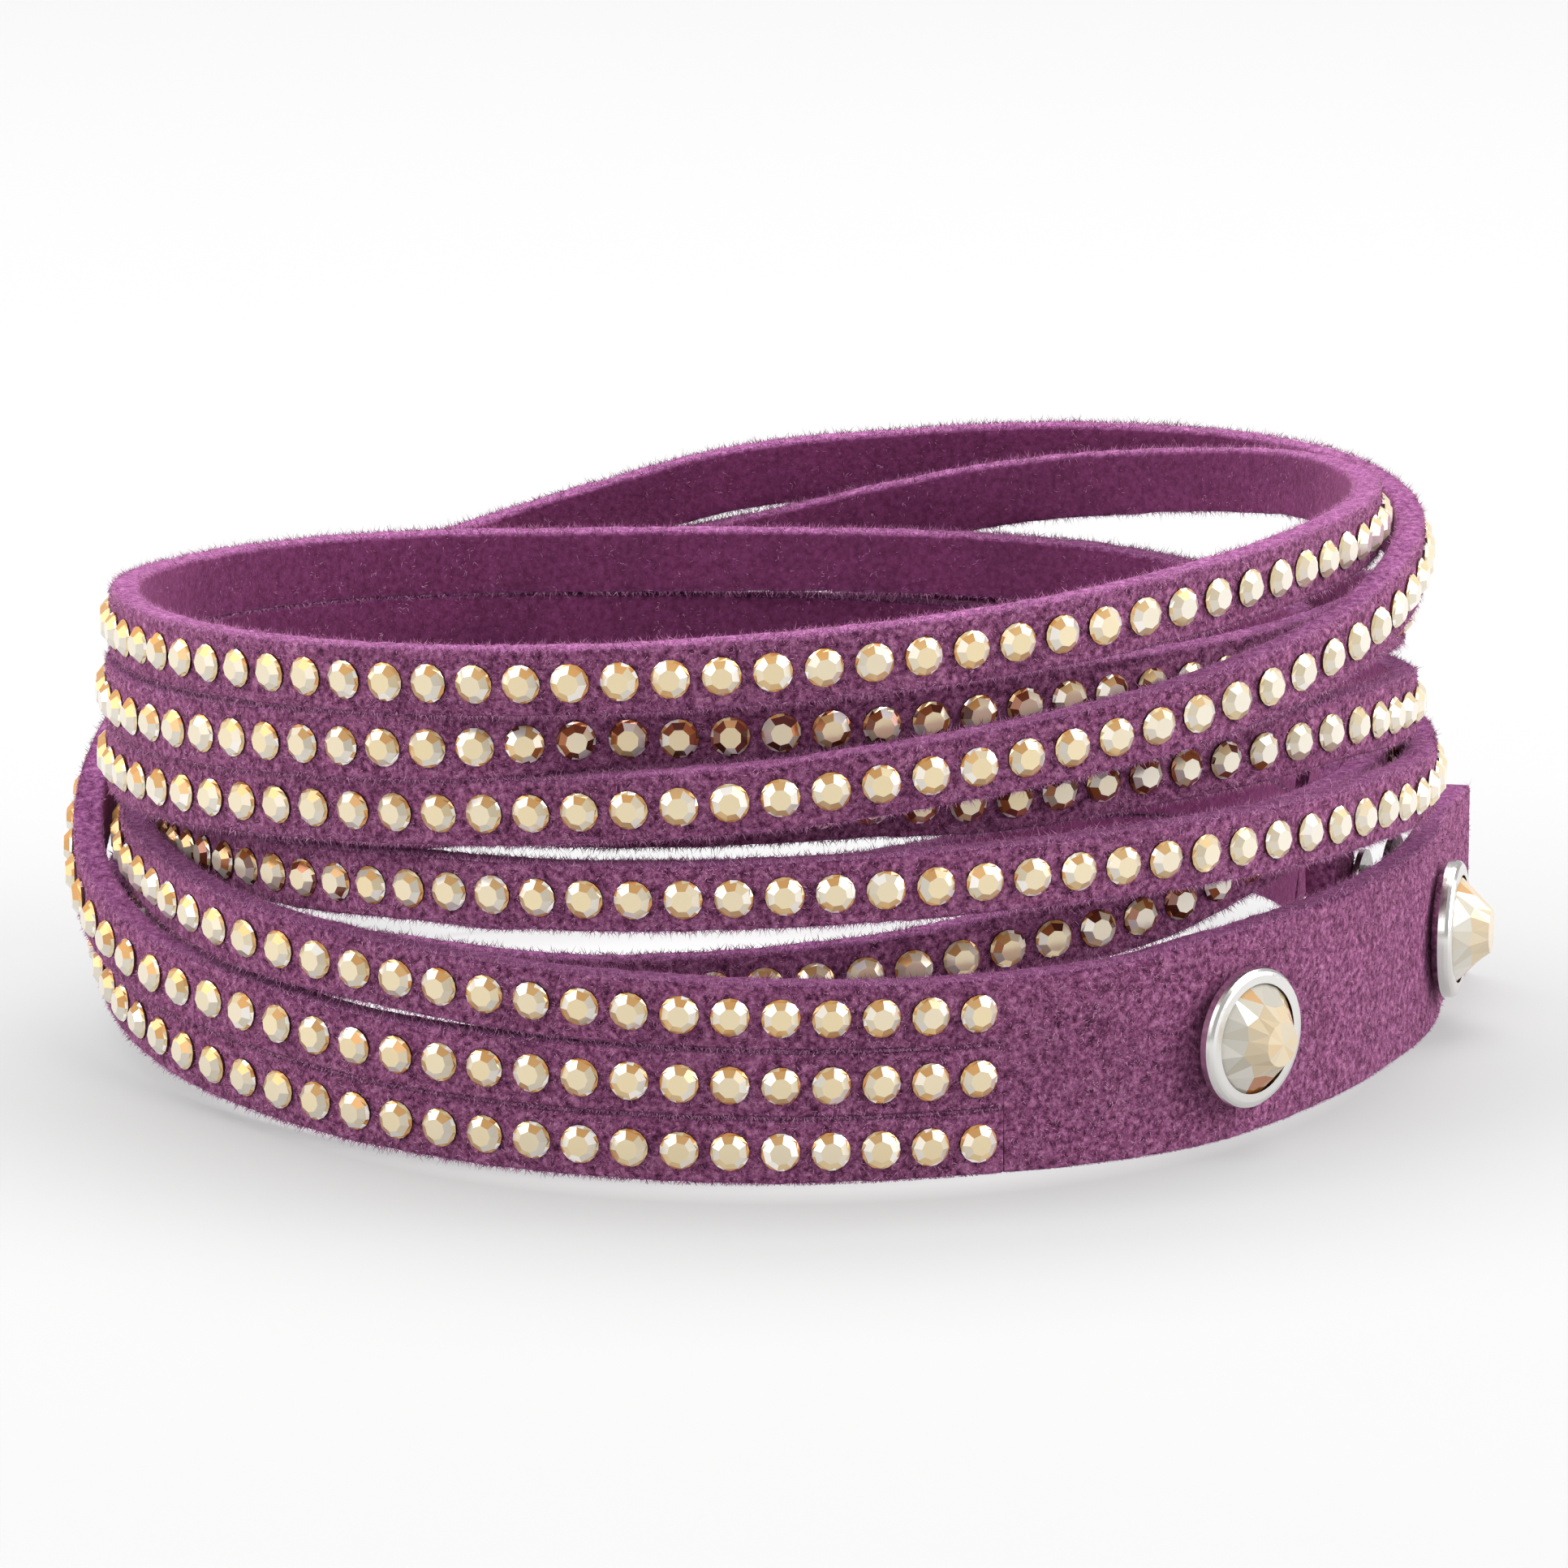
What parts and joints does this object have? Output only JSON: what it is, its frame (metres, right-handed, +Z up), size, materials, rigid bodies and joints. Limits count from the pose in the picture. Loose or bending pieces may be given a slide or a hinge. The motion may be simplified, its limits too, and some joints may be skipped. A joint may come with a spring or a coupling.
{
  "type": "wrap bracelet",
  "caption": "Microsuede strap slit into three strands set with small crystals, wound round the wrist and snapped shut under round studs.",
  "frame": {"origin": "on the surface the bracelet lies on, below the middle of its bounding box", "axes": "+X to the right and -Y to the front as pictured, with the studs at the right front; +Z up, along the wrist"},
  "size_m": [0.0725, 0.0576, 0.0284],
  "materials": {
    "suede": "napped microsuede",
    "crystal": "faceted and foil backed",
    "silver": "polished"
  },
  "bodies": {
    "root": {"strap": "suede", "upper_row_stones": "crystal", "middle_row_stones": "crystal", "lower_row_stones": "crystal", "upper_row_band": "crystal", "middle_row_band": "crystal", "lower_row_band": "crystal", "stud_setting_1": "silver", "stud_setting_2": "silver", "stud_stone_1": "crystal", "stud_stone_2": "crystal", "snap_socket_1": "silver", "snap_socket_2": "silver", "snap_post": "silver"}
  },
  "joints": []
}
